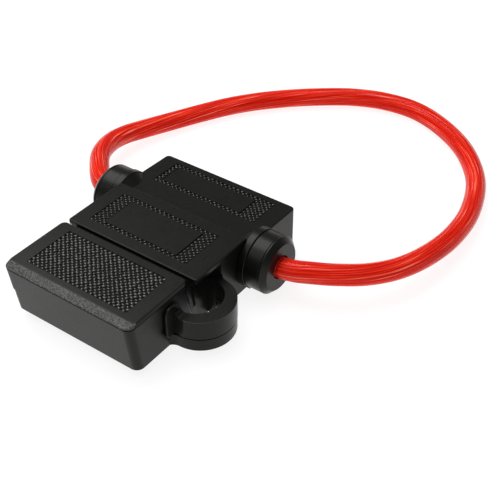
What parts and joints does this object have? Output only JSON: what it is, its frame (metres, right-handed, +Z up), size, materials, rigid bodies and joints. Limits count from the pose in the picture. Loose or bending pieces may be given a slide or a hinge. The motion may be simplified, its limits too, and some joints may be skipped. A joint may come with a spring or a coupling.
{
  "type": "in-line fuse holder",
  "caption": "Black in-line holder for a large blade fuse, with a slide-off cap, stacked tie ears and an uncut loop of red lead.",
  "frame": {"origin": "on the surface the holder lies on, in the holder's middle plane between its two glands, 29.1 mm in front of the rear end face", "axes": "+X towards the gland and the ears on the right, +Y from the cap to the rear block, +Z up"},
  "size_m": [0.0999, 0.1321, 0.0158],
  "materials": {
    "housing_black": "moulded black, fine satin grain",
    "cap_black": "moulded black, fine satin grain",
    "seal_rubber": "soft black rubber",
    "fuse_plastic": "clear coloured plastic",
    "fuse_zinc": "stamped zinc, dull",
    "terminal_brass": "tinned brass",
    "spring_steel": "rolled spring steel",
    "copper": "bare stranded copper",
    "jacket_red": "translucent red jacket over twisted strands"
  },
  "bodies": {
    "holder": {"body_housing": "housing_black", "gland_cap_right": "housing_black", "gland_cap_left": "housing_black", "wire_seal_right": "seal_rubber", "wire_seal_left": "seal_rubber", "fuse_housing": "fuse_plastic", "fuse_element": "fuse_zinc", "terminal_right": "terminal_brass", "terminal_left": "terminal_brass", "terminal_spring_right": "spring_steel", "terminal_spring_left": "spring_steel", "conductor_right": "copper", "conductor_left": "copper", "jacket_end_right": "jacket_red", "jacket_end_left": "jacket_red", "wire_loop": "jacket_red"},
    "cap": {"cap": "cap_black"}
  },
  "joints": [
    {"name": "cap_slide", "type": "slide", "parent": "holder", "child": "cap", "axis": [0, -1, 0], "range_m": [0, 0.03]}
  ]
}
